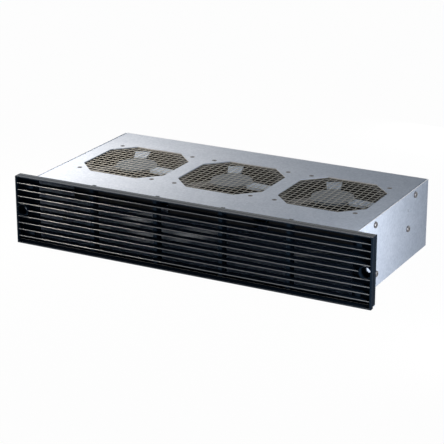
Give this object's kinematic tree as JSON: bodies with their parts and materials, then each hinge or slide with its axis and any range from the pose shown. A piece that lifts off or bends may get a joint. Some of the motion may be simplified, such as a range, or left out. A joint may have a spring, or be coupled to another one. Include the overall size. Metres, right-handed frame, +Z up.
{
  "type": "rack fan tray",
  "caption": "Rack fan tray: galvanised folded chassis with a black louvred front intake and axial fans that blow up through octagonal mesh openings.",
  "frame": {"origin": "centre of the bounding box at its lowest plane, under the front panel's lower edge", "axes": "+X along the rack width, to the right seen from the front; the louvred front faces -Y; +Z up"},
  "size_m": [0.4826, 0.233, 0.0881],
  "materials": {
    "galvanised_steel": "galvanised sheet, faint speckle",
    "zinc_fasteners": "zinc plated",
    "louvre_plastic": "moulded, glossy black",
    "mesh_steel": "bare steel bars",
    "fan_casting": "die-cast",
    "stator_steel": "lacquered laminations",
    "bearing_steel": "ground steel",
    "blade_plastic": "moulded black",
    "lead_sheath": "flexible sheath",
    "block_plastic": "moulded ivory",
    "inlet_plastic": "moulded black",
    "pin_brass": "nickel plated brass",
    "fuse_glass": "glass tube with metal end caps"
  },
  "bodies": {
    "tray": {"base_panel": "galvanised_steel", "base_screws": "zinc_fasteners", "clinch_nuts": "zinc_fasteners", "cover_screws": "zinc_fasteners", "fan_bearings": "bearing_steel", "fan_frame_centre": "fan_casting", "fan_frame_left": "fan_casting", "fan_frame_right": "fan_casting", "fan_lead_centre": "lead_sheath", "fan_lead_left": "lead_sheath", "fan_lead_right": "lead_sheath", "fan_screws": "zinc_fasteners", "fan_stator_centre": "stator_steel", "fan_stator_left": "stator_steel", "fan_stator_right": "stator_steel", "inlet_body": "inlet_plastic", "inlet_nuts": "zinc_fasteners", "inlet_pins": "pin_brass", "inlet_screws": "zinc_fasteners", "louvre_panel": "louvre_plastic", "louvre_screws": "zinc_fasteners", "mesh_guard_centre": "mesh_steel", "mesh_guard_left": "mesh_steel", "mesh_guard_right": "mesh_steel", "rail_screws": "zinc_fasteners", "rear_panel": "galvanised_steel", "rear_screws": "zinc_fasteners", "side_panel_left": "galvanised_steel", "side_panel_right": "galvanised_steel", "supply_cores": "lead_sheath", "terminal_block": "block_plastic", "top_panel": "galvanised_steel", "wiring_rail": "galvanised_steel"},
    "rotor_left": {"fan_impeller_left": "blade_plastic", "fan_shaft_left": "bearing_steel", "fan_rotor_ring_left": "stator_steel"},
    "rotor_centre": {"fan_impeller_centre": "blade_plastic", "fan_shaft_centre": "bearing_steel", "fan_rotor_ring_centre": "stator_steel"},
    "rotor_right": {"fan_impeller_right": "blade_plastic", "fan_shaft_right": "bearing_steel", "fan_rotor_ring_right": "stator_steel"},
    "fuse_holder": {"fuse_drawer": "inlet_plastic", "fuse_link": "fuse_glass"}
  },
  "joints": [
    {"name": "rotor_left_spin", "type": "hinge", "parent": "tray", "child": "rotor_left", "pos_m": [-0.137, 0.0045, 0.0474], "axis": [0, 0, 1], "continuous": true},
    {"name": "rotor_centre_spin", "type": "hinge", "parent": "tray", "child": "rotor_centre", "pos_m": [0, 0.0045, 0.0474], "axis": [0, 0, 1], "continuous": true},
    {"name": "rotor_right_spin", "type": "hinge", "parent": "tray", "child": "rotor_right", "pos_m": [0.137, 0.0045, 0.0474], "axis": [0, 0, 1], "continuous": true},
    {"name": "fuse_holder_slide", "type": "slide", "parent": "tray", "child": "fuse_holder", "axis": [0, 1, 0], "range_m": [0, 0.016]}
  ]
}
